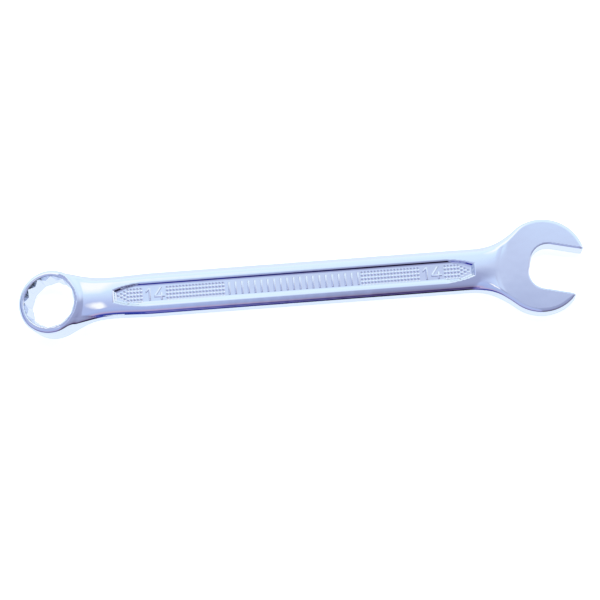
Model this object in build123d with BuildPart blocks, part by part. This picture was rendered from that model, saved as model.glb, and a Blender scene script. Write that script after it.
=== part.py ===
"""Combination wrench, 14 mm: one drop forging, modelled as its three named sections.

Frame: the origin is the centre of the box end's socket, +X runs along the shank to the open end,
and +Z is the normal of the open end's flat faces. Sizes are in millimetres.
"""

from build123d import *
from math import cos, radians, sin, sqrt, tan
import os

# Both ends fit the same nut
ACROSS_FLATS = 14.1  # a 14 mm nut with its working clearance
MIDDLES = 155.0  # socket centre to the middle of the open end, along X

# Shank
SHANK_WIDTH = 14.1
SHANK_THICKNESS = 6.9
SHANK_EDGE_RADIUS = 3.0

# Box end
RING_OUTER_RADIUS = 10.2
RING_HEIGHT = 9.5
RING_EDGE_RADIUS = 1.5
SOCKET_LEAD = 0.15  # how far each countersink runs outside the socket's corners
SINK_ANGLE = 60.0  # degrees across each countersink's cone
SOCKET_TURN = -5.5  # degrees that the broach sat off the shank's centreline
BOX_TILT = 12.0  # degrees between the ring's plane and the shank
BEND_REACH = 15.3  # socket centre to the corner of the bend, in the ring's plane
BEND_RADIUS = 24.0
BOX_NECK_FLARE = 1.8  # how much each side of the neck widens where it enters the ring
BOX_NECK_RISE = 0.6  # how much each face of the neck rises there
BOX_NECK_ROOT = 5.13  # how far inside the ring's outline the neck's own section ends

# Recessed panel in both faces of the shank, with the marks that stand up from its floor
PANEL_WIDTH = 7.5
PANEL_SHIFT = 0.4  # the panel's centreline off the shank's, towards -Y
PANEL_DEPTH = 0.95
PANEL_END_WIDTH = 3.8
PANEL_TAPER_LENGTH = 5.0
PANEL_WALL_ANGLE = 40.0  # degrees that each wall leans back
PANEL_LEAD = 1.7  # bare bar between the bend and the panel
PANEL_TAIL = 0.8  # bare bar between the panel and the open end's section
MARK_HEIGHT = 0.3  # how far the marks rise above the panel's floor
MARK_STROKE = 0.7
NUMERAL_TALL = 4.1
NUMERAL_GAP = 1.9  # between the two numerals
FOUR_WIDTH = 3.4
NUMERAL_INSET = 10.0  # from each end of the panel to the start of the size mark
RIB_COUNT = 21
RIB_PITCH = 2.0

# Open end: u runs out of the mouth and v across it
JAW_ANGLE = 13.5  # degrees that the mouth turns from the shank, towards -Y
JAW_DROP = 1.3  # middle of the mouth below the shank's centreline
GROUND_DEPTH = 0.2  # taken off each face of the head when it is ground flat
GROUND_RADIUS = 16.8
LOBE_RADIUS = 13.2
LOBE_SETBACK = 2.9  # the lobes' centres behind the middle of the open end, along u
LOBE_SPREAD = 1.9  # each lobe's centre off the mouth's centreline
THROAT_DEPTH = 6.6  # bottom of the mouth behind the middle of the open end
THROAT_RADIUS = 5.3
BROACH_STOCK = 0.4  # left on the forged mouth, then broached away
TIP_RADIUS = 1.3
HEAD_EDGE_RADIUS = 1.0
JAW_NECK_RADIUS = 20.0  # sweep from each side of the shank into the head
NECK_LEAD = 0.6  # straight bar forged with the head, before that sweep
HEAD_SECTION = 23.1  # where the open end's section starts, behind the middle of the open end
NECK_OVERLAP = 2.5  # how far behind the throat the neck's own body stops inside the head

# The ring's plane tilts down at the origin; the shank and the jaw share one higher plane
tilt = radians(BOX_TILT)
turn = radians(JAW_ANGLE)
shank_z = BEND_REACH * sin(tilt)
bend_tangent = BEND_RADIUS * tan(tilt / 2)
shank_start = BEND_REACH * cos(tilt) + bend_tangent
half_width = SHANK_WIDTH / 2
half_thickness = SHANK_THICKNESS / 2
half_flats = ACROSS_FLATS / 2

ring_plane = Plane(origin=(0, 0, 0), x_dir=(cos(tilt), 0, sin(tilt)), z_dir=(-sin(tilt), 0, cos(tilt)))
shank_plane = Plane(origin=(0, 0, shank_z), x_dir=(1, 0, 0), z_dir=(0, 0, 1))
jaw_plane = Plane(origin=(MIDDLES, -JAW_DROP, shank_z), x_dir=(cos(turn), -sin(turn), 0), z_dir=(0, 0, 1))

# The lobes' centres seen from the shank, and where the sweeps of the jaw neck leave its sides
lobe_upper_x = MIDDLES - LOBE_SETBACK * cos(turn) + LOBE_SPREAD * sin(turn)
lobe_upper_y = -JAW_DROP + LOBE_SETBACK * sin(turn) + LOBE_SPREAD * cos(turn)
lobe_lower_x = MIDDLES - LOBE_SETBACK * cos(turn) - LOBE_SPREAD * sin(turn)
lobe_lower_y = -JAW_DROP + LOBE_SETBACK * sin(turn) - LOBE_SPREAD * cos(turn)
sweep_reach = LOBE_RADIUS + JAW_NECK_RADIUS
sweep_offset = half_width + JAW_NECK_RADIUS
sweep_upper_x = lobe_upper_x - sqrt(sweep_reach**2 - (sweep_offset - lobe_upper_y) ** 2)
sweep_lower_x = lobe_lower_x - sqrt(sweep_reach**2 - (sweep_offset + lobe_lower_y) ** 2)
neck_start = min(sweep_upper_x, sweep_lower_x) - NECK_LEAD

# The shank section runs from the bend to where the sweeps have begun, and the panel fills it
shank_end = MIDDLES - HEAD_SECTION
panel_length = shank_end - PANEL_TAIL - shank_start - PANEL_LEAD
panel_middle = shank_start + PANEL_LEAD + panel_length / 2
shank_cut = Plane(origin=(shank_end, 0, shank_z), x_dir=(0, 1, 0), z_dir=(1, 0, 0))


# Box end: a ring with a twelve-point socket, on a neck that bends up to the shank
def neck_section(share):
    """The bar's plane at `share` of the bend: 0 at the shank, 1 where it runs straight to the ring."""
    lean = tilt * share
    x = shank_start - BEND_RADIUS * sin(lean)
    z = shank_z - BEND_RADIUS * (1 - cos(lean))
    return Plane(origin=(x, 0, z), x_dir=(0, 1, 0), z_dir=(cos(lean), 0, sin(lean)))


root_half_width = half_width + BOX_NECK_FLARE
root_x = RING_OUTER_RADIUS - BOX_NECK_ROOT
root_plane = Plane(
    origin=(root_x * cos(tilt), 0, root_x * sin(tilt)),
    x_dir=(0, 1, 0),
    z_dir=(cos(tilt), 0, sin(tilt)),
)
corner_radius = half_flats / cos(radians(30))
inner_radius = half_flats / cos(radians(15))
lead_radius = corner_radius + SOCKET_LEAD
lead_height = lead_radius / tan(radians(SINK_ANGLE / 2))
socket_points = []
for point in range(12):
    angle = radians(30 * point + SOCKET_TURN)
    next_angle = angle + radians(15)
    socket_points.append((corner_radius * cos(angle), corner_radius * sin(angle)))
    socket_points.append((inner_radius * cos(next_angle), inner_radius * sin(next_angle)))

with BuildPart() as box_end:
    for share in (0, 0.5, 1):
        with BuildSketch(neck_section(share)):
            RectangleRounded(SHANK_WIDTH, SHANK_THICKNESS, SHANK_EDGE_RADIUS)
    with BuildSketch(root_plane):
        RectangleRounded(2 * root_half_width, SHANK_THICKNESS + 2 * BOX_NECK_RISE, SHANK_EDGE_RADIUS)
    loft()
    with BuildPart(ring_plane, mode=Mode.PRIVATE) as ring:
        Cylinder(RING_OUTER_RADIUS, RING_HEIGHT)
        fillet(ring.edges().filter_by(GeomType.CIRCLE), RING_EDGE_RADIUS)
    add(ring.part)
    with BuildSketch(ring_plane):
        Polygon(*socket_points, align=None)
    extrude(amount=RING_HEIGHT, both=True, mode=Mode.SUBTRACT)
    # Conical countersink at each mouth of the socket
    for face in (1, -1):
        mouth = Plane(
            origin=ring_plane.from_local_coords((0, 0, face * RING_HEIGHT / 2)),
            x_dir=ring_plane.x_dir,
            z_dir=ring_plane.z_dir * -face,
        )
        with Locations(mouth.offset(lead_height / 2).location):
            Cone(lead_radius, 0, lead_height, mode=Mode.SUBTRACT)
box_end.part.label = "box_end"

# The bar from the straight of the shank into the head: its sides sweep out and its edges stay well rounded
neck_end = Plane(
    origin=jaw_plane.from_local_coords((-THROAT_DEPTH - NECK_OVERLAP, 0, 0)),
    x_dir=(0, 0, 1),
    z_dir=jaw_plane.x_dir,
)

with BuildPart() as jaw_neck:
    with BuildSketch(shank_plane.offset(-half_thickness)) as neck_outline:
        with Locations((lobe_upper_x, lobe_upper_y), (lobe_lower_x, lobe_lower_y)):
            Circle(LOBE_RADIUS)
        with Locations(((neck_start + MIDDLES) / 2, 0)):
            Rectangle(MIDDLES - neck_start, SHANK_WIDTH)
        roots = neck_outline.vertices().filter_by_position(Axis.X, sweep_lower_x, MIDDLES - LOBE_RADIUS / 2)
        fillet(roots, JAW_NECK_RADIUS)
    extrude(amount=SHANK_THICKNESS)
    rims = jaw_neck.edges().filter_by(Plane.XY)
    fillet(rims.filter_by(lambda rim: rim.center().X > neck_start + NECK_LEAD / 4), SHANK_EDGE_RADIUS)
    split(bisect_by=neck_end, keep=Keep.BOTTOM)
    # Each side of the head is ground flat in a round patch
    with Locations(jaw_plane.offset(half_thickness).location, jaw_plane.offset(-half_thickness).location):
        Cylinder(GROUND_RADIUS, 2 * GROUND_DEPTH, mode=Mode.SUBTRACT)

# Shank: a flat bar with nearly full-round sides and a recessed panel in each face
panel_straight = panel_length / 2 - PANEL_TAPER_LENGTH
panel_outline = [
    (-panel_straight, PANEL_WIDTH / 2),
    (panel_straight, PANEL_WIDTH / 2),
    (panel_length / 2, PANEL_END_WIDTH / 2),
    (panel_length / 2, -PANEL_END_WIDTH / 2),
    (panel_straight, -PANEL_WIDTH / 2),
    (-panel_straight, -PANEL_WIDTH / 2),
    (-panel_length / 2, -PANEL_END_WIDTH / 2),
    (-panel_length / 2, PANEL_END_WIDTH / 2),
]
numeral_x = panel_length / 2 - NUMERAL_INSET
size_width = MARK_STROKE + NUMERAL_GAP + FOUR_WIDTH
crossbar_drop = NUMERAL_TALL / 5  # the crossbar of the 4 below its middle

with BuildPart() as shank:
    with BuildSketch(neck_section(0)):
        RectangleRounded(SHANK_WIDTH, SHANK_THICKNESS, SHANK_EDGE_RADIUS)
    extrude(amount=neck_start - shank_start)
    split(jaw_neck.part, bisect_by=shank_cut, keep=Keep.BOTTOM, mode=Mode.ADD)
    for face in (1, -1):
        surface = Plane(
            origin=(panel_middle, -PANEL_SHIFT, shank_z + face * half_thickness),
            x_dir=(face, 0, 0),
            z_dir=(0, 0, face),
        )
        with BuildSketch(surface):
            Polygon(*panel_outline, align=None)
        extrude(amount=-PANEL_DEPTH, taper=PANEL_WALL_ANGLE, mode=Mode.SUBTRACT)
        # The size mark at both ends of the panel, and plain ribs in the middle
        with BuildSketch(surface.offset(-PANEL_DEPTH)):
            for start in (-numeral_x, numeral_x - size_width):
                with Locations((start + MARK_STROKE / 2, 0), (start + size_width - MARK_STROKE, 0)):
                    Rectangle(MARK_STROKE, NUMERAL_TALL)
                with Locations((start + size_width - FOUR_WIDTH / 2, -crossbar_drop)):
                    Rectangle(FOUR_WIDTH, MARK_STROKE)
                left_tall = NUMERAL_TALL / 2 + crossbar_drop + MARK_STROKE / 2
                left_y = NUMERAL_TALL / 2 - left_tall / 2
                with Locations((start + size_width - FOUR_WIDTH + MARK_STROKE / 2, left_y)):
                    Rectangle(MARK_STROKE, left_tall)
            with GridLocations(RIB_PITCH, 1, RIB_COUNT, 1):
                Rectangle(MARK_STROKE, NUMERAL_TALL)
        extrude(amount=MARK_HEIGHT)
shank.part.label = "shank"

# Open end: the rest of that neck, the head, and the mouth broached through it
mouth_length = THROAT_DEPTH + LOBE_RADIUS
mouth_middle = mouth_length / 2 - THROAT_DEPTH

with BuildPart() as open_end:
    split(jaw_neck.part, bisect_by=shank_cut, keep=Keep.TOP, mode=Mode.ADD)
    # The head has tighter edges than the neck, and its prongs end in rounded tips
    with BuildPart(mode=Mode.PRIVATE) as head:
        with BuildSketch(jaw_plane.offset(GROUND_DEPTH - half_thickness)) as head_outline:
            with Locations((-LOBE_SETBACK, 0)):
                SlotCenterToCenter(2 * LOBE_SPREAD, 2 * LOBE_RADIUS, rotation=90)
            with Locations((mouth_middle + THROAT_RADIUS, 0)):
                RectangleRounded(
                    mouth_length - 2 * BROACH_STOCK + 2 * THROAT_RADIUS,
                    ACROSS_FLATS - 2 * BROACH_STOCK,
                    THROAT_RADIUS - BROACH_STOCK,
                    mode=Mode.SUBTRACT,
                )
        extrude(amount=SHANK_THICKNESS - 2 * GROUND_DEPTH)
        uprights = head.edges().filter_by(Axis.Z)
        fillet(uprights.filter_by(lambda tip: jaw_plane.to_local_coords(tip.center()).X > LOBE_SETBACK), TIP_RADIUS)
        fillet(head.edges().filter_by(Plane.XY), HEAD_EDGE_RADIUS)
    add(head.part)
    with BuildSketch(jaw_plane):
        with Locations((mouth_middle + THROAT_RADIUS, 0)):
            RectangleRounded(mouth_length + 2 * THROAT_RADIUS, ACROSS_FLATS, THROAT_RADIUS)
    extrude(amount=SHANK_THICKNESS, both=True, mode=Mode.SUBTRACT)
open_end.part.label = "open_end"

os.makedirs("parts", exist_ok=True)
export_step(box_end.part, "parts/box_end.step")
export_step(shank.part, "parts/shank.step")
export_step(open_end.part, "parts/open_end.step")
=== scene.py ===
"""Combination wrench, 14 mm, bright nickel-chrome plate on a drop forging, lying on a pale table."""

from math import atan2, cos, pi, radians, sin, sqrt, tan

import bmesh
import bpy
import numpy as np
from mathutils import Matrix, Vector


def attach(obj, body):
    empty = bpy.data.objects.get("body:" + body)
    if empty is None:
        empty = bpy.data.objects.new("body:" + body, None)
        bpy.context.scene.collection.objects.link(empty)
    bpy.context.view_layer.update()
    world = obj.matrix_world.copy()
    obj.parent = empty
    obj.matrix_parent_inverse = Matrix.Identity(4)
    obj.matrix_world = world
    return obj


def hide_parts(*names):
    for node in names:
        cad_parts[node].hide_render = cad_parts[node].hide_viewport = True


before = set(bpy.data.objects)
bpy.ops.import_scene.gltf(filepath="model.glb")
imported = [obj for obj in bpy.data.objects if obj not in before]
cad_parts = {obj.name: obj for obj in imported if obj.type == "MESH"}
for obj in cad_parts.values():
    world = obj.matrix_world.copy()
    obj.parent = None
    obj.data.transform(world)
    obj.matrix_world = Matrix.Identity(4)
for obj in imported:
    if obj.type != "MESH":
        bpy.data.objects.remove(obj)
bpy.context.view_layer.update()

# ---------------------------------------------------------------------------------------------
# The plate. Forged alloy steel, polished, then plated with bright nickel under a flash of chrome.
# Chrome gives a blue-white mirror, and the polishing belts leave faint waves under it.
# ---------------------------------------------------------------------------------------------


def srgb(hex_code):
    """A six-digit sRGB hex colour as linear RGBA."""
    channels = [int(hex_code[i : i + 2], 16) / 255 for i in (0, 2, 4)]
    return [c / 12.92 if c <= 0.04045 else ((c + 0.055) / 1.055) ** 2.4 for c in channels] + [1.0]


def node(tree, kind, links=(), sockets=(), **settings):
    """Add one node: settings are its properties, sockets its input values, links its incoming wires."""
    made = tree.nodes.new(kind)
    for name, value in settings.items():
        setattr(made, name, value)
    for name, value in dict(sockets).items():
        made.inputs[name].default_value = value
    for name, source in dict(links).items():
        tree.links.new(source, made.inputs[name])
    return made


clean_roughness = 0.035
hazy_roughness = 0.09
haze_scale = 110.0  # patches about 9 mm across, from handling
wave_scale = 250.0  # waves about 4 mm long, from the belt
wave_depth = 0.0001
wave_strength = 0.25

polished = bpy.data.materials.new("polished nickel-chrome plate on forged steel")
polished.use_nodes = True
plating = polished.node_tree
shader = plating.nodes["Principled BSDF"]
shader.inputs["Base Color"].default_value = srgb("EEF1F8")
shader.inputs["Metallic"].default_value = 1.0
place = node(plating, "ShaderNodeTexCoord")
haze = node(
    plating,
    "ShaderNodeTexNoise",
    {"Vector": place.outputs["Object"]},
    {"Scale": haze_scale, "Detail": 4.0},
)
spread = node(
    plating,
    "ShaderNodeMapRange",
    {"Value": haze.outputs["Fac"]},
    {"From Min": 0.35, "From Max": 0.7, "To Min": clean_roughness, "To Max": hazy_roughness},
)
plating.links.new(spread.outputs["Result"], shader.inputs["Roughness"])
waves = node(
    plating,
    "ShaderNodeTexNoise",
    {"Vector": place.outputs["Object"]},
    {"Scale": wave_scale, "Detail": 1.0},
)
bump = node(
    plating,
    "ShaderNodeBump",
    {"Height": waves.outputs["Fac"]},
    {"Strength": wave_strength, "Distance": wave_depth},
)
plating.links.new(bump.outputs["Normal"], shader.inputs["Normal"])

# ---------------------------------------------------------------------------------------------
# The forging, as one closed skin. It is drop forged flat, the ring is bent down, the socket and
# the mouth are broached, the head's faces are ground, and the edges are rolled over by polishing.
# Sizes are in millimetres along the unbent bar: s along it, y across it, h up from its mid-plane.
# ---------------------------------------------------------------------------------------------
across_flats = 14.1
shank_width = 14.1
shank_thickness = 6.9
shank_edge = 3.0
shank_crown = 24.0
neck_crown = 15.0
head_crown = 450.0

ring_radius = 10.2
ring_height = 9.5
ring_edge = 1.5
socket_lead = 0.15
sink_half = radians(30.0)
socket_turn = radians(-5.5)
box_tilt = radians(12.0)
bend_reach = 15.3
bend_radius = 24.0
bend_ease = 3.0
waist = 0.35  # the bar is a little narrower behind the ring
waist_run = 12.0
neck_sweep = 48.0
neck_tuck = 0.9  # the neck's sides stop this far inside the ring's
tuck_run = 4.0
swell_run = 12.0  # over this length the bar grows to the ring's height
ring_blend = 0.9
socket_edge = 0.15

middles = 155.0
jaw_turn = radians(13.5)
jaw_drop = 1.3
ground_radius = 16.8
ground_depth = 0.12
lobe_radius = 13.2
lobe_setback = 2.9
lobe_spread = 1.9
throat_depth = 6.6
throat_radius = 5.3
tip_radius = 1.1
head_edge = 1.3
mouth_edge = 0.5
jaw_neck_radius = 20.0
sweep_band = 5.0  # how deep each sweep's own band of steel reaches past its radius
bar_stop = 8.0  # the bar's own outline stops inside the head, this far behind its middle

head_section = 23.1
panel_width = 7.5
panel_shift = 0.4
panel_depth = 0.95
panel_end_width = 3.8
panel_taper = 5.0
panel_wall = radians(40.0)
near_wall = radians(52.0)  # the near long wall leans further
panel_corner = 1.5
panel_root = 0.2
panel_rim = 0.25
near_rim = 0.65
panel_lead = 1.7
panel_tail = 0.8

bend_start = bend_reach * cos(box_tilt) + bend_radius * tan(box_tilt / 2)
bend_length = bend_radius * box_tilt
shank_lift = bend_reach * sin(box_tilt)
neck_half = shank_width / 2 - waist
neck_start = sqrt((ring_radius + neck_sweep) ** 2 - (neck_half + neck_sweep) ** 2)
neck_root = neck_start * ring_radius / (ring_radius + neck_sweep)
shank_end = middles - head_section
panel_length = shank_end - panel_tail - bend_start - panel_lead
panel_middle = bend_start + panel_lead + panel_length / 2
panel_floor = shank_thickness / 2 - panel_depth

# Pits stand in rows on the panel's floor. The skin's lattice is set out so their edges fall on it.
# A field of pits is its first cell along the lattice, its columns and its rows.
pit_along = 1.02
pit_across = 1.17
pit_cells = 4  # cells of the lattice along each side of a pit's square
first_pits = 23.19
lattice = np.array([pit_along / pit_cells, pit_across / pit_cells, 0.24])
pit_fields = [(-12, 1, 1), (-8, 1, 2), (-4, 1, 3), (0, 5, 4), (48, 18, 4)]
pit_fields += [(285, 18, 4), (386, 5, 4), (406, 1, 3), (410, 1, 2), (414, 1, 1)]


def ease(t):
    """0 below 0, 1 above 1, and a smooth step between."""
    t = np.clip(t, 0.0, 1.0)
    return t * t * (3 - 2 * t)


# The bar's mid-plane through the bend, which tightens and eases off smoothly, in even steps along it
route_low = -20.0  # past the ring's far side
bend_total = bend_length + 2 * bend_ease
route_s = np.linspace(route_low, bend_start + bend_ease, 6001)
route_part = (bend_start + bend_ease - route_s) / bend_total
route_turn = box_tilt * ease(route_part)
route_rate = box_tilt * 6 * np.clip(route_part, 0, 1) * (1 - np.clip(route_part, 0, 1)) / bend_total
route_step = route_s[1] - route_s[0]
route_x = route_s[-1] - np.cumsum(np.cos(route_turn)[::-1])[::-1] * route_step
route_z = shank_lift - np.cumsum(np.sin(route_turn)[::-1])[::-1] * route_step
ring_s = np.interp(0, route_x, route_s)


def rolled(a, b, radius):
    """Where two surfaces meet in an outside edge, rolled over to a radius."""
    u = np.maximum(radius + a, 0)
    v = np.maximum(radius + b, 0)
    return np.minimum(np.maximum(a, b), -radius) + np.sqrt(u * u + v * v)


def blended(a, b, reach):
    """Two forms joined with a smooth inside blend."""
    k = np.maximum(reach - np.abs(a - b), 0) / reach
    return np.minimum(a, b) - k * k * reach / 4


def slab(outline, h, half, edge):
    """A slab of half-thickness `half` with the given outline and rounded edges."""
    p = outline + edge
    q = np.abs(h) - half + edge
    inside = np.minimum(np.maximum(p, q), 0)
    return inside + np.hypot(np.maximum(p, 0), np.maximum(q, 0)) - edge


def lobe_centre(side):
    """A lobe's centre, in s and y."""
    u = -lobe_setback
    v = side * lobe_spread
    centre_s = middles + u * cos(jaw_turn) + v * sin(jaw_turn)
    return centre_s, -jaw_drop - u * sin(jaw_turn) + v * cos(jaw_turn)


def forging(s, y, h):
    """Below 0 in the steel, 0 on its skin. The jaw's own axes are u, towards its mouth, and v."""
    u = (s - middles) * cos(jaw_turn) - (y + jaw_drop) * sin(jaw_turn)
    v = (s - middles) * sin(jaw_turn) + (y + jaw_drop) * cos(jaw_turn)
    along = s - ring_s
    radius = np.hypot(along, y)
    # Outline of the bar, with a slight waist behind the ring and a flare into it
    half_width = shank_width / 2 - waist * (1 - ease((along - neck_start) / waist_run))
    into_flare = np.clip(neck_start - along, 0, neck_start - neck_root)
    flare = neck_sweep - np.sqrt(neck_sweep**2 - into_flare**2)
    flare = flare - neck_tuck * (1 - ease((along - neck_root) / tuck_run))
    lobes = np.hypot(u + lobe_setback, np.maximum(np.abs(v) - lobe_spread, 0)) - lobe_radius
    bar = np.maximum(np.abs(y) - half_width - flare, np.maximum(s - middles + bar_stop, neck_root - along))
    outline = np.minimum(bar, lobes)
    # The sides sweep out into the head on a large radius
    for side in (1, -1):
        lobe_s, lobe_y = lobe_centre(side)
        centre_y = shank_width / 2 + jaw_neck_radius
        rise = centre_y - side * lobe_y
        run = sqrt((lobe_radius + jaw_neck_radius) ** 2 - rise**2)
        ds = s - (lobe_s - run)
        dy = centre_y - side * y
        arc = np.hypot(ds, dy)
        swept = (ds > 0) & (np.arctan2(ds, dy) < atan2(run, rise)) & (arc < jaw_neck_radius + sweep_band)
        outline = np.where(swept, jaw_neck_radius - arc, outline)
    # The mouth: two flats and a rounded throat. Its edges, and the head's, are sharper than the bar's.
    across = np.abs(v) - across_flats / 2 + throat_radius
    back = -u - throat_depth + throat_radius
    mouth = np.hypot(np.maximum(across, 0), np.maximum(back, 0)) + np.minimum(np.maximum(across, back), 0)
    mouth = mouth - throat_radius
    at_mouth = ease((-mouth - outline + 1.5) / 3)
    edge = shank_edge + (head_edge - shank_edge) * ease((u + 19) / 9)
    edge = edge + (mouth_edge - edge) * at_mouth * ease((u + 12) / 4)
    outline = rolled(outline, -mouth, tip_radius)
    # The head's faces are ground flat inside a disc; the neck stands a little proud of them
    half = shank_thickness / 2 - ground_depth * (1 - ease((np.hypot(u, v) - ground_radius + 0.8) / 1.6))
    # Towards the ring the bar swells to the ring's height and takes on its edges
    swell = 1 - ease((along - neck_root) / swell_run)
    half = half + (ring_height - shank_thickness) / 2 * swell
    edge = edge + (ring_edge - edge) * swell
    # The bar's faces are crowned by polishing, most of all at the ring's neck, and the head's a little
    crown_radius = neck_crown + (shank_crown - neck_crown) * ease((along - 8) / 14)
    bar_crown = np.minimum(np.abs(y), 6.0) ** 2 / (2 * crown_radius)
    half = half - bar_crown * (1 - ease((u + 22) / 8)) * (1 - swell**2)
    half = half - np.minimum(np.abs(v), 16.0) ** 2 / (2 * head_crown) * ease((u + 17) / 10)
    body = slab(outline, h, half, edge)
    # The ring, blended into the neck and faced off flat
    ring = slab(radius - ring_radius, h, ring_height / 2, ring_edge)
    body = np.maximum(blended(body, ring, ring_blend), np.abs(h) - ring_height / 2)
    # Twelve-point socket: two hexagons, and a countersink at each mouth
    hexagons = []
    for offset in (0, 30):
        sides = []
        for k in (0, 60, 120):
            angle = radians(offset + k) + socket_turn
            sides.append(np.abs(along * cos(angle) + y * sin(angle)))
        hexagons.append(np.maximum(np.maximum(sides[0], sides[1]), sides[2]) - across_flats / 2)
    socket = np.minimum(hexagons[0], hexagons[1])
    lead = across_flats / 2 / cos(radians(30)) + socket_lead
    sink = (radius - lead) * cos(sink_half) + (ring_height / 2 - np.abs(h)) * sin(sink_half)
    body = rolled(body, -np.minimum(socket, sink), socket_edge)
    # The recessed panel: straight sides, tapered ends, leaning walls, the near long one leaning most
    px = np.abs(s - panel_middle)
    py = np.abs(y + panel_shift)
    slant = atan2((panel_width - panel_end_width) / 2, panel_taper)
    ends = (px - panel_length / 2 + panel_taper) * sin(slant) + (py - panel_width / 2) * cos(slant)
    recess = np.maximum(rolled(py - panel_width / 2, ends, panel_corner), px - panel_length / 2)
    depth = shank_thickness / 2 - np.abs(h)
    easy = ease(-(y + panel_shift) / 2) * ease((panel_length / 2 - panel_taper - px) / 5)
    lean = panel_wall + (near_wall - panel_wall) * easy
    wall = (recess + depth * np.tan(lean)) * np.cos(lean)
    recess = rolled(wall, depth - panel_depth, panel_root)
    return rolled(body, -recess, panel_rim + (near_rim - panel_rim) * easy)


def slope(points):
    """The skin's outward normal at each point, from the form itself."""
    step = 1e-4
    sides = []
    for axis in range(3):
        ahead = points.copy()
        behind = points.copy()
        ahead[:, axis] += step
        behind[:, axis] -= step
        sides.append(forging(*ahead.T) - forging(*behind.T))
    found = np.stack(sides, 1)
    return found / np.maximum(np.linalg.norm(found, axis=1, keepdims=True), 1e-12)


# The skin is stretched over a lattice: one corner in each cell that the surface crosses
cells_before = np.array([138.5, 53.5, 21.5])  # from the lattice's low corner to the first pits
count = np.array([731, 116, 43])
halvings = 14  # of a lattice edge, to find where the surface crosses it
flat_pull = 0.03  # holds a corner to its cell's middle where the skin is flat
low = np.array([first_pits, -panel_shift, 0]) - lattice * cells_before
axes = [low[i] + lattice[i] * np.arange(count[i] + 1) for i in range(3)]
field = np.empty(count + 1)
for i, s in enumerate(np.array_split(np.arange(count[0] + 1), 16)):
    grid = np.meshgrid(axes[0][s], axes[1], axes[2], indexing="ij")
    field[s] = forging(*grid)
steel = field < 0

cell_shape = tuple(count)
crossings = []
for axis in range(3):
    start = [slice(None)] * 3
    stop = [slice(None)] * 3
    start[axis] = slice(0, -1)
    stop[axis] = slice(1, None)
    cut = np.argwhere(steel[tuple(start)] != steel[tuple(stop)])
    step = np.zeros(3, int)
    step[axis] = 1
    a = low + cut * lattice
    b = low + (cut + step) * lattice
    fa = field[tuple(cut.T)]
    for _ in range(halvings):
        middle = (a + b) / 2
        fm = forging(*middle.T)
        same = (fm < 0) == (fa < 0)
        a[same] = middle[same]
        b[~same] = middle[~same]
    point = (a + b) / 2
    one, two = [k for k in range(3) if k != axis]
    around = []
    for d1, d2 in ((-1, -1), (0, -1), (0, 0), (-1, 0)):
        cell = cut.copy()
        cell[:, one] += d1
        cell[:, two] += d2
        around.append(np.ravel_multi_index(tuple(cell.T), cell_shape))
    around = np.stack(around, 1)
    # Turn each face to look out of the steel
    turned = (fa < 0) if axis != 1 else ~(fa < 0)
    around[~turned] = around[~turned][:, ::-1]
    crossings.append((point, slope(point), around))
points = np.concatenate([c[0] for c in crossings])
normals = np.concatenate([c[1] for c in crossings])
faces = np.concatenate([c[2] for c in crossings])

# Each corner goes where the tangent planes around it meet, so broached edges stay crisp
owners, local = np.unique(faces.ravel(), return_inverse=True)
local = local.reshape(faces.shape)
number = len(owners)
tally = np.bincount(local.ravel(), minlength=number)


def gather(values):
    """Sum one value per crossing into its four cells."""
    return np.bincount(local.ravel(), weights=np.repeat(values, 4), minlength=number)


centre = np.stack([gather(points[:, i]) for i in range(3)], 1) / tally[:, None]
square = np.empty((number, 3, 3))
reach = np.empty((number, 3))
level = np.einsum("ij,ij->i", normals, points)
for i in range(3):
    for j in range(3):
        square[:, i, j] = gather(normals[:, i] * normals[:, j])
    reach[:, i] = gather(normals[:, i] * level)
reach -= np.einsum("nij,nj->ni", square, centre)
square += flat_pull * np.eye(3)
corners = centre + np.linalg.solve(square, reach[:, :, None])[:, :, 0]
cell = np.stack(np.unravel_index(owners, cell_shape), 1)
corners = np.clip(corners, low + cell * lattice, low + (cell + 1) * lattice)
facing = slope(corners)
near_skin = 0.05
for _ in range(2):
    off = forging(*corners.T)
    near = np.abs(off) < near_skin
    corners[near] -= (facing * off[:, None])[near]
facing = slope(corners)

# Shading normals come from the form too, and each side of a crisp edge keeps its own
crisp_turn = radians(22)
inward = 0.3  # how far in from its corners a face looks for its own normals
middle = corners[local].mean(axis=1)
nudged = corners[local] + inward * (middle[:, None, :] - corners[local])
own = slope(nudged.reshape(-1, 3)).reshape(len(faces), 4, 3)
shared = facing[local]
smooth = np.einsum("fij,fij->fi", own, shared) > cos(crisp_turn)
shading = np.where(smooth[:, :, None], shared, own)


def bent(place, normal):
    """Flat-bar places and normals, bent down to the ring, in metres."""
    s, y, h = place.T
    turn = np.interp(s, route_s, route_turn, right=0)
    x = np.interp(s, route_s, route_x) + np.maximum(s - route_s[-1], 0) - h * np.sin(turn)
    z = np.interp(s, route_s, route_z) + h * np.cos(turn)
    ns, ny, nh = normal.T
    ns = ns / (1 + h * np.interp(s, route_s, route_rate, right=0))
    out = np.stack([ns * np.cos(turn) - nh * np.sin(turn), ny, ns * np.sin(turn) + nh * np.cos(turn)], 1)
    return np.stack([x, y, z], 1) / 1000, out / np.linalg.norm(out, axis=1, keepdims=True)


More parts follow.
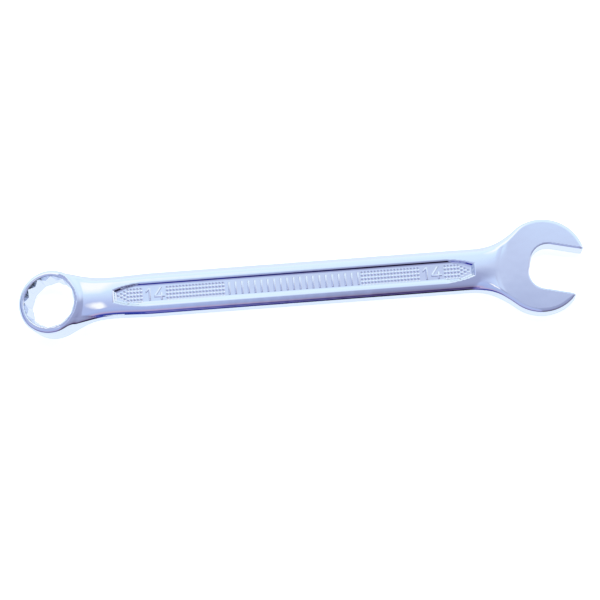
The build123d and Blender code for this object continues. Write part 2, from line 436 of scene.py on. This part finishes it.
# The three named sections of the one forging share this skin, so no seam shows where they meet
# The panels' floors are left open where the pits' own squares of floor will stand
floor_slack = 0.02
on_floor = np.abs(np.abs(middle[:, 2]) - panel_floor) < floor_slack
pitted = np.zeros(len(faces), bool)
for start, columns, rows in pit_fields:
    left = first_pits + start * lattice[0]
    right = left + columns * pit_along
    tall = rows * pit_across / 2
    in_columns = (middle[:, 0] > left) & (middle[:, 0] < right)
    in_rows = np.abs(middle[:, 1] + panel_shift) < tall
    pitted |= on_floor & in_columns & in_rows
sections = {
    "box_end": middle[:, 0] < bend_start,
    "shank": (middle[:, 0] >= bend_start) & (middle[:, 0] < shank_end) & ~pitted,
    "open_end": middle[:, 0] >= shank_end,
}
skins = {}
for name, chosen in sections.items():
    used, index = np.unique(local[chosen].ravel(), return_inverse=True)
    place, _ = bent(corners[used], facing[used])
    _, light = bent(corners[local[chosen]].reshape(-1, 3), shading[chosen].reshape(-1, 3))
    mesh = bpy.data.meshes.new(name + " skin")
    mesh.from_pydata(place.tolist(), [], index.reshape(-1, 4).tolist())
    mesh.polygons.foreach_set("use_smooth", np.ones(len(mesh.polygons), bool))
    mesh.normals_split_custom_set(light.tolist())
    mesh.materials.append(polished)
    skin = bpy.data.objects.new(name + "_skin", mesh)
    bpy.context.collection.objects.link(skin)
    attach(skin, "root")
    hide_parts(name)
    skins[name] = skin

# ---------------------------------------------------------------------------------------------
# Pits in the panels' floors. Rows of small round pits struck by the die, for grip and for looks.
# Each stands in a square of floor that meets its neighbours, with a low lip round the pit.
# ---------------------------------------------------------------------------------------------
pit_rings = [(0.33, 0.05), (0.25, -0.1), (0.12, -0.2)]  # radius and height, from its lip to its bottom
pit_sides = 4 * pit_cells

pit_points = []
reach_out = pit_cells // 2
for k in range(pit_sides):
    # Corners round the square of floor, at the skin's own spacing
    side, part = divmod(k, pit_cells)
    run = [
        (-reach_out + part, -reach_out),
        (reach_out, -reach_out + part),
        (reach_out - part, reach_out),
        (-reach_out, reach_out - part),
    ][side]
    pit_points.append((run[0] * pit_along / pit_cells, run[1] * pit_across / pit_cells, 0))
for radius, height in pit_rings:
    for k in range(pit_sides):
        angle = radians(-135 + 360 / pit_sides * k)
        pit_points.append((radius * cos(angle), radius * sin(angle), height))
pit_faces = []
for ring in range(len(pit_rings)):
    outer = ring * pit_sides
    inner = outer + pit_sides
    for k in range(pit_sides):
        j = (k + 1) % pit_sides
        pit_faces.append((outer + k, outer + j, inner + j, inner + k))
pit_faces.append(tuple(range(len(pit_points) - pit_sides, len(pit_points))))
pit_mesh = bpy.data.meshes.new("one pit")
pit_mesh.from_pydata([tuple(c / 1000 for c in p) for p in pit_points], [], pit_faces)
pit_mesh.polygons.foreach_set("use_smooth", [True] * len(pit_mesh.polygons))
one_pit = bpy.data.objects.new("one pit", pit_mesh)


def rows_tree():
    """Marks in rows, on both faces of the shank. Its sizes are in metres."""
    tree = bpy.data.node_groups.new("marks in rows on both panels", "GeometryNodeTree")
    face = tree.interface
    face.new_socket("Geometry", in_out="OUTPUT", socket_type="NodeSocketGeometry")
    face.new_socket("Mark", in_out="INPUT", socket_type="NodeSocketObject")
    face.new_socket("Columns", in_out="INPUT", socket_type="NodeSocketInt")
    face.new_socket("Rows", in_out="INPUT", socket_type="NodeSocketInt")
    face.new_socket("Field Length", in_out="INPUT", socket_type="NodeSocketFloat")
    face.new_socket("Field Width", in_out="INPUT", socket_type="NodeSocketFloat")
    face.new_socket("Field Middle", in_out="INPUT", socket_type="NodeSocketVector")
    face.new_socket("Turn Over", in_out="INPUT", socket_type="NodeSocketVector")
    face.new_socket("Plate", in_out="INPUT", socket_type="NodeSocketMaterial")
    given = node(tree, "NodeGroupInput").outputs
    field = node(
        tree,
        "GeometryNodeMeshGrid",
        {
            "Size X": given["Field Length"],
            "Size Y": given["Field Width"],
            "Vertices X": given["Columns"],
            "Vertices Y": given["Rows"],
        },
    )
    placed = node(
        tree,
        "GeometryNodeTransform",
        {"Geometry": field.outputs["Mesh"], "Translation": given["Field Middle"]},
    )
    mark = node(tree, "GeometryNodeObjectInfo", {"Object": given["Mark"]})
    struck = node(
        tree,
        "GeometryNodeInstanceOnPoints",
        {"Points": placed.outputs["Geometry"], "Instance": mark.outputs["Geometry"]},
    )
    solid = node(tree, "GeometryNodeRealizeInstances", {"Geometry": struck.outputs["Instances"]})
    back = node(
        tree,
        "GeometryNodeTransform",
        {"Geometry": solid.outputs["Geometry"], "Translation": given["Turn Over"]},
        {"Rotation": (pi, 0, 0)},
    )
    both = node(tree, "GeometryNodeJoinGeometry")
    tree.links.new(solid.outputs["Geometry"], both.inputs[0])
    tree.links.new(back.outputs["Geometry"], both.inputs[0])
    real = node(tree, "GeometryNodeRealizeInstances", {"Geometry": both.outputs["Geometry"]})
    # Neighbouring squares of floor are welded where they meet
    welded = node(
        tree,
        "GeometryNodeMergeByDistance",
        {"Geometry": real.outputs["Geometry"]},
        {"Distance": 0.000001},
    )
    plated = node(
        tree,
        "GeometryNodeSetMaterial",
        {"Geometry": welded.outputs["Geometry"], "Material": given["Plate"]},
    )
    end = node(tree, "NodeGroupOutput")
    tree.links.new(plated.outputs["Geometry"], end.inputs["Geometry"])
    return tree


marks_in_rows = rows_tree()


def struck_rows(name, mark, columns, rows, pitch, middle, lift, finish):
    """One field of marks as a plain mesh on both faces. Sizes are in millimetres."""
    holder = bpy.data.objects.new(name, bpy.data.meshes.new(name))
    bpy.context.collection.objects.link(holder)
    modifier = holder.modifiers.new(name, "NODES")
    modifier.node_group = marks_in_rows
    values = {
        "Mark": mark,
        "Columns": columns,
        "Rows": rows,
        "Field Length": (columns - 1) * pitch[0] / 1000,
        "Field Width": (rows - 1) * pitch[1] / 1000,
        "Field Middle": (middle / 1000, -panel_shift / 1000, (shank_lift + lift) / 1000),
        "Turn Over": (0, -2 * panel_shift / 1000, 2 * shank_lift / 1000),
        "Plate": finish,
    }
    for item in marks_in_rows.interface.items_tree:
        if item.in_out == "INPUT":
            modifier[item.identifier] = values[item.name]
    holder.update_tag()
    bpy.context.view_layer.update()
    seen = holder.evaluated_get(bpy.context.evaluated_depsgraph_get())
    plain = bpy.data.meshes.new_from_object(seen)
    holder.modifiers.clear()
    holder.data = plain
    return holder


def joined(name, pieces, finish):
    """Several meshes as one piece, in one finish."""
    whole = bmesh.new()
    for piece in pieces:
        whole.from_mesh(piece.data)
        bpy.data.objects.remove(piece)
    mesh = bpy.data.meshes.new(name)
    whole.to_mesh(mesh)
    whole.free()
    mesh.materials.clear()
    mesh.materials.append(finish)
    made = bpy.data.objects.new(name, mesh)
    bpy.context.collection.objects.link(made)
    return made


fields = []
pit_pitch = (pit_along, pit_across)
for k, (start, columns, rows) in enumerate(pit_fields):
    middle_s = first_pits + start * lattice[0] + columns * pit_along / 2
    fields.append(
        struck_rows(f"pits {k}", one_pit, columns, rows, pit_pitch, middle_s, panel_floor, polished)
    )
pits = joined("panel_pits", fields, polished)
pits.data.polygons.foreach_set("use_smooth", [True] * len(pits.data.polygons))
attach(pits, "root")

# ---------------------------------------------------------------------------------------------
# Ribs in the middle of each panel: plain upright bars raised by the die where a forging carries
# its lettering, softened by polishing. They stand in for that lettering and say nothing.
# ---------------------------------------------------------------------------------------------
rib_count = 21
rib_pitch = 2.0
mark_stroke = 0.7
mark_tall = 4.1
mark_height = 0.3
mark_root = 0.05  # sunk into the panel's floor
mark_bevel = 0.26
mark_crease = radians(40)


def raised(name, outlines):
    """Raised strokes with softened tops, standing on z = 0, from outlines in millimetres."""
    form = bmesh.new()
    for outline in outlines:
        base = [form.verts.new((x / 1000, y / 1000, -mark_root / 1000)) for x, y in outline]
        sole = form.faces.new(base)
        top = bmesh.ops.extrude_face_region(form, geom=[sole])
        lifted = [g for g in top["geom"] if isinstance(g, bmesh.types.BMVert)]
        for vert in lifted:
            vert.co.z = mark_height / 1000
        form.faces.remove(sole)
    bmesh.ops.recalc_face_normals(form, faces=form.faces)
    rims = [e for e in form.edges if min(v.co.z for v in e.verts) > 0]
    bmesh.ops.bevel(
        form, geom=rims, offset=mark_bevel / 1000, segments=3, profile=0.5, affect="EDGES"
    )
    mesh = bpy.data.meshes.new(name)
    form.to_mesh(mesh)
    form.free()
    mesh.polygons.foreach_set("use_smooth", [True] * len(mesh.polygons))
    mesh.set_sharp_from_angle(angle=mark_crease)
    return bpy.data.objects.new(name, mesh)


half_stroke = mark_stroke / 2
half_tall = mark_tall / 2
rib_outline = [
    (-half_stroke, -half_tall),
    (half_stroke, -half_tall),
    (half_stroke, half_tall),
    (-half_stroke, half_tall),
]
one_rib = raised("one rib", [rib_outline])
ribs = struck_rows("panel_ribs", one_rib, rib_count, 1, (rib_pitch, 1), panel_middle, panel_floor, polished)
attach(ribs, "root")

# ---------------------------------------------------------------------------------------------
# The size number, raised by the die at both ends of each panel: a 1 with a flag, and a 4 whose
# upright starts below its slanted stroke. It is forged with the bar and plated with it.
# ---------------------------------------------------------------------------------------------
numeral_inset = 10.0
numeral_gap = 1.0
one_width = 1.6
flag_low = 0.35
flag_top = 0.55  # width of the 1's top
flag_notch = 1.0  # from its top down to where the flag leaves the stem
four_width = 3.4
upright_rise = 0.9  # above the crossbar
upright_inset = 2.0
slant_inset = 1.75
four_left = one_width + numeral_gap
bar_low = -mark_tall / 5 - half_stroke
bar_high = bar_low + mark_stroke
upright_top = bar_high + upright_rise
upright = four_left + upright_inset
slant_top = four_left + slant_inset
slant_width = 0.82
one = [
    (one_width - mark_stroke, -half_tall),
    (one_width, -half_tall),
    (one_width, half_tall),
    (one_width - flag_top, half_tall),
    (0, flag_low + mark_stroke),
    (0, flag_low),
    (one_width - mark_stroke, half_tall - flag_notch),
]
four = [
    (four_left, bar_low),
    (upright, bar_low),
    (upright, -half_tall),
    (upright + mark_stroke, -half_tall),
    (upright + mark_stroke, bar_low),
    (four_left + four_width, bar_low),
    (four_left + four_width, bar_high),
    (upright + mark_stroke, bar_high),
    (upright + mark_stroke, upright_top),
    (upright, upright_top),
    (upright, bar_high),
    (four_left + slant_width, bar_high),
    (slant_top + slant_width, half_tall),
    (slant_top, half_tall),
    (four_left, bar_high),
]
size_mark = raised("size mark", [one, four])
mark_width = four_left + four_width
numeral_s = panel_length / 2 - numeral_inset
left_s = panel_middle - numeral_s
right_s = panel_middle + numeral_s - mark_width
sizes = [
    struck_rows("size a", size_mark, 1, 1, (1, 1), left_s, panel_floor, polished),
    struck_rows("size b", size_mark, 1, 1, (1, 1), right_s, panel_floor, polished),
]
numerals = joined("size_numerals", sizes, polished)
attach(numerals, "root")

# ---------------------------------------------------------------------------------------------
# The table: a sheet of matt white paper, brightly lit from above. The wrench rests on it by the
# low edge of its ring and by its jaw, so the sheet is laid to the slope between those two.
# ---------------------------------------------------------------------------------------------
body_points = np.concatenate(
    [np.array([v.co for v in skins[name].data.vertices]) for name in ("box_end", "open_end")]
)
half_way = 0.05  # between the ring and the jaw, in metres
table_gap = 0.00002
sheet_reach = 6.0
lean = 0.0
for _ in range(20):
    height = body_points[:, 2] * cos(lean) + body_points[:, 0] * sin(lean)
    left = body_points[:, 0] < half_way
    ring_low = body_points[left][np.argmin(height[left])]
    jaw_low = body_points[~left][np.argmin(height[~left])]
    lean = -atan2(jaw_low[2] - ring_low[2], jaw_low[0] - ring_low[0])
paper = bpy.data.materials.new("matt white paper")
paper.use_nodes = True
paper_tree = paper.node_tree
paper_shader = paper_tree.nodes["Principled BSDF"]
paper_shader.inputs["Base Color"].default_value = srgb("F4F6FA")
paper_shader.inputs["Roughness"].default_value = 0.9
paper_shader.inputs["Emission Color"].default_value = srgb("FFFFFF")
paper_shader.inputs["Emission Strength"].default_value = 0.62
# In the plate's reflections the paper glows a fixed colour, a little darker and bluer: painted shade,
# standing in for the paper shaded close under the wrench
painted_plate_shade = node(paper_tree, "ShaderNodeEmission", {}, {"Color": srgb("E2EEFF"), "Strength": 1.12})
seen = node(paper_tree, "ShaderNodeLightPath")
# Glossy rays see the painted shade glow in place of the lit paper
sheet_shader = node(
    paper_tree,
    "ShaderNodeMixShader",
    {
        "Fac": seen.outputs["Is Glossy Ray"],
        1: paper_shader.outputs["BSDF"],
        2: painted_plate_shade.outputs["Emission"],
    },
)
paper_output = paper_tree.nodes["Material Output"]
paper_tree.links.new(sheet_shader.outputs["Shader"], paper_output.inputs["Surface"])
sheet_mesh = bpy.data.meshes.new("table")
sheet_middle = Vector((ring_low[0], 0, ring_low[2] - table_gap))
along_sheet = Vector((cos(lean), 0, -sin(lean))) * sheet_reach
across_sheet = Vector((0, sheet_reach, 0))
sheet_corners = [
    sheet_middle - along_sheet - across_sheet,
    sheet_middle + along_sheet - across_sheet,
    sheet_middle + along_sheet + across_sheet,
    sheet_middle - along_sheet + across_sheet,
]
sheet_mesh.from_pydata([tuple(c) for c in sheet_corners], [], [(0, 1, 2, 3)])
table = bpy.data.objects.new("table", sheet_mesh)
table.data.materials.append(paper)
bpy.context.collection.objects.link(table)

# ---------------------------------------------------------------------------------------------
# The studio: a blue-white dome, dark at its near horizon and paler towards the far one, with
# round lamps and grey screens on it, and one soft light from above that casts the shadow.
# ---------------------------------------------------------------------------------------------
scene = bpy.context.scene
scene.view_settings.view_transform = "Standard"
world = bpy.data.worlds.new("studio dome")
scene.world = world
world.use_nodes = True
sky = world.node_tree
sky.nodes.clear()
where = node(sky, "ShaderNodeTexCoord")
axes_out = node(sky, "ShaderNodeSeparateXYZ", {"Vector": where.outputs["Generated"]})
# From the near horizon, over the top, to the far horizon
arch = node(
    sky, "ShaderNodeMath", {0: axes_out.outputs["Y"], 1: axes_out.outputs["Z"]}, operation="ARCTAN2"
)
place_on_arch = node(
    sky, "ShaderNodeMapRange", {"Value": arch.outputs["Value"]}, {"From Min": -pi / 2, "From Max": pi / 2}
)


def arch_ramp(stops):
    """Colours along the arch, by degrees from the zenith: near side below 0, far side above."""
    ramp = node(sky, "ShaderNodeValToRGB", {"Fac": place_on_arch.outputs["Result"]})
    # Every colour stop gets its place below, so where it starts doesn't matter
    while len(ramp.color_ramp.elements) < len(stops):
        ramp.color_ramp.elements.new(0.5)
    for element, (angle, colour) in zip(ramp.color_ramp.elements, stops):
        element.position = (angle + 90) / 180
        element.color = srgb(colour)
    return ramp.outputs["Color"]


# The half of the dome towards the ring is bluer, and the half towards the jaw is greyer and darker
left_arch = [
    (-90, "3D427F"),
    (-84, "22308C"),
    (-76, "4851A8"),
    (-70, "7071B4"),
    (-64, "BDA6C7"),
    (-57, "AFAFD3"),
    (-45, "A4B2DE"),
    (-30, "AABAE4"),
    (-3, "AEBAE1"),
    (3, "B8C5E8"),
    (9, "C2D1F2"),
    (15, "CDDEF7"),
    (24, "D7EDFB"),
    (60, "E0F4FC"),
    (90, "E8F8FC"),
]
right_arch = [
    (-90, "1A1420"),
    (-84, "0C0918"),
    (-76, "1C1540"),
    (-70, "57497A"),
    (-64, "877E9A"),
    (-57, "8587AA"),
    (-45, "8E94B8"),
    (-30, "979DC1"),
    (0, "9BA3C7"),
    (6, "A0A9CB"),
    (12, "B5C0DF"),
    (15, "C3CEEA"),
    (20, "CCDCF7"),
    (30, "D8EBFB"),
    (60, "DFF3FC"),
    (90, "E6F7FC"),
]
sideways = node(
    sky, "ShaderNodeMapRange", {"Value": axes_out.outputs["X"]}, {"From Min": -0.05, "From Max": 0.03}
)
room = node(
    sky,
    "ShaderNodeMix",
    {
        "Factor": sideways.outputs["Result"],
        6: arch_ramp(left_arch),
        7: arch_ramp(right_arch),
    },
    data_type="RGBA",
)
room = room.outputs[2]
# Round lamps and grey screens: each one's direction, its radius, its soft edge and its colour
for direction, bright, edge, colour in (
    ((-0.31, -0.04, 0.95), 0.08, 0.15, "FFFFFF"),
    ((-0.33, 0.62, 0.71), 0.2, 0.38, "FFFFFF"),
    ((0.8, 0.25, 0.55), 0.2, 0.35, "FFFFFF"),
    ((-0.5, 0.22, 0.83), 0.1, 0.24, "A3ADD4"),
    ((-0.85, 0.2, 0.4), 0.15, 0.4, "6F7CB8"),
):
    off = node(
        sky, "ShaderNodeVectorMath", {0: where.outputs["Generated"]}, {1: direction}, operation="DISTANCE"
    )
    glow = node(
        sky,
        "ShaderNodeMapRange",
        {"Value": off.outputs["Value"]},
        {"From Min": bright, "From Max": edge, "To Min": 1.0, "To Max": 0.0},
    )
    lit = node(
        sky,
        "ShaderNodeMix",
        {"Factor": glow.outputs["Result"], 6: room},
        {7: srgb(colour)},
        data_type="RGBA",
    )
    room = lit.outputs[2]
dome = node(sky, "ShaderNodeBackground", {"Color": room}, {"Strength": 1.12})
pale = node(sky, "ShaderNodeBackground", {}, {"Color": srgb("FFFFFF"), "Strength": 1.0})
seen_by = node(sky, "ShaderNodeLightPath")
choice = node(
    sky,
    "ShaderNodeMixShader",
    {"Fac": seen_by.outputs["Is Camera Ray"], 1: dome.outputs["Background"], 2: pale.outputs["Background"]},
)
node(sky, "ShaderNodeOutputWorld", {"Surface": choice.outputs["Shader"]})

sun = bpy.data.lights.new("soft top light", "SUN")
sun.energy = 2.6
sun.angle = radians(25)
sun_object = bpy.data.objects.new("soft top light", sun)
sun_object.rotation_euler = (radians(-24), radians(5), 0)
sun_object.visible_glossy = False
bpy.context.collection.objects.link(sun_object)

# ---------------------------------------------------------------------------------------------
# The camera: a long lens, 0.9 m away, looking steeply down from the near side. It is rolled a
# little, so that the wrench lies aslant in its frame.
# ---------------------------------------------------------------------------------------------
lens_azimuth = radians(-0.35)
lens_elevation = radians(75.52)
lens_roll = radians(-3.94)
lens_distance = 0.9
sensor_width = 36
focal_widths = 4.8414  # the lens's focal length, in widths of the sensor
aim = Vector((0.07666, -0.00516, shank_lift / 1000))
toward = Vector(
    (sin(lens_azimuth) * cos(lens_elevation), -cos(lens_azimuth) * cos(lens_elevation), sin(lens_elevation))
)
right = (-toward).cross(Vector((0, 0, 1))).normalized()
up = right.cross(-toward)
turned_right = right * cos(lens_roll) + up * sin(lens_roll)
turned_up = up * cos(lens_roll) - right * sin(lens_roll)
camera_data = bpy.data.cameras.new("camera")
camera_data.sensor_width = sensor_width
camera_data.lens = sensor_width * focal_widths
camera = bpy.data.objects.new("camera", camera_data)
pose = Matrix((turned_right, turned_up, toward)).transposed().to_4x4()
pose.translation = aim + toward * lens_distance
camera.matrix_world = pose
bpy.context.collection.objects.link(camera)
scene.camera = camera
